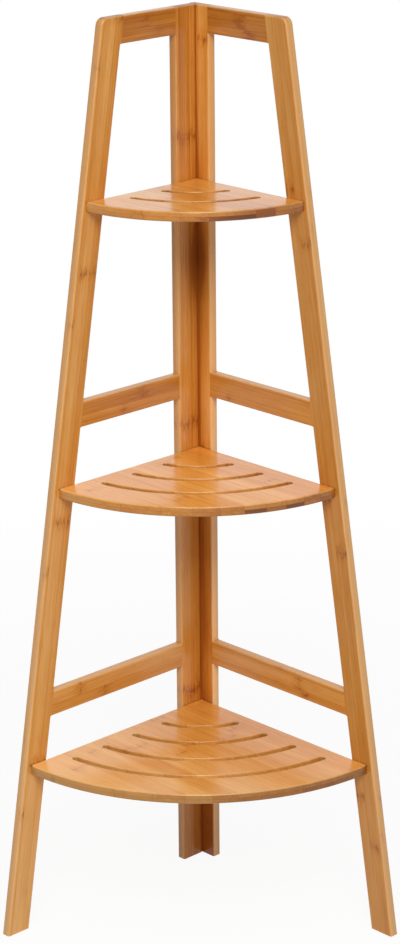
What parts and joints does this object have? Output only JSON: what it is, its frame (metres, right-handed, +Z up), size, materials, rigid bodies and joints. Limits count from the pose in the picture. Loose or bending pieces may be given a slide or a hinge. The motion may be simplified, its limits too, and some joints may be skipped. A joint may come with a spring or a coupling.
{
  "type": "corner shelf",
  "caption": "Tall tapering corner ladder shelf: two raked side frames meet at a right angle and carry slotted quarter-round shelves that grow towards the floor.",
  "frame": {"origin": "on the floor, in the middle of the square footprint", "axes": "+Z up; the room's corner lies at -X and +Y, the right frame's wall side faces +Y, the left frame's wall side faces -X, and the open front faces +X and -Y"},
  "size_m": [0.342, 0.342, 1.1],
  "materials": {
    "frame_bamboo": "satin clear-lacquered laminated bamboo, grain lengthwise",
    "shelf_bamboo": "satin clear-lacquered two-ply laminated bamboo board, grain along the right wall",
    "dowel_wood": "plain turned hardwood",
    "screw_steel": "bright zinc-plated"
  },
  "bodies": {
    "root": {"left_front_leg": "frame_bamboo", "left_back_post": "frame_bamboo", "left_top_rail": "frame_bamboo", "left_mid_rail": "frame_bamboo", "left_low_rail": "frame_bamboo", "right_front_leg": "frame_bamboo", "right_back_post": "frame_bamboo", "right_top_rail": "frame_bamboo", "right_mid_rail": "frame_bamboo", "right_low_rail": "frame_bamboo", "top_shelf": "shelf_bamboo", "middle_shelf": "shelf_bamboo", "bottom_shelf": "shelf_bamboo", "left_top_rail_dowels": "dowel_wood", "left_mid_rail_dowels": "dowel_wood", "left_low_rail_dowels": "dowel_wood", "right_top_rail_dowels": "dowel_wood", "right_mid_rail_dowels": "dowel_wood", "right_low_rail_dowels": "dowel_wood", "corner_screws": "screw_steel", "top_shelf_screws": "screw_steel", "middle_shelf_screws": "screw_steel", "bottom_shelf_screws": "screw_steel"}
  },
  "joints": []
}
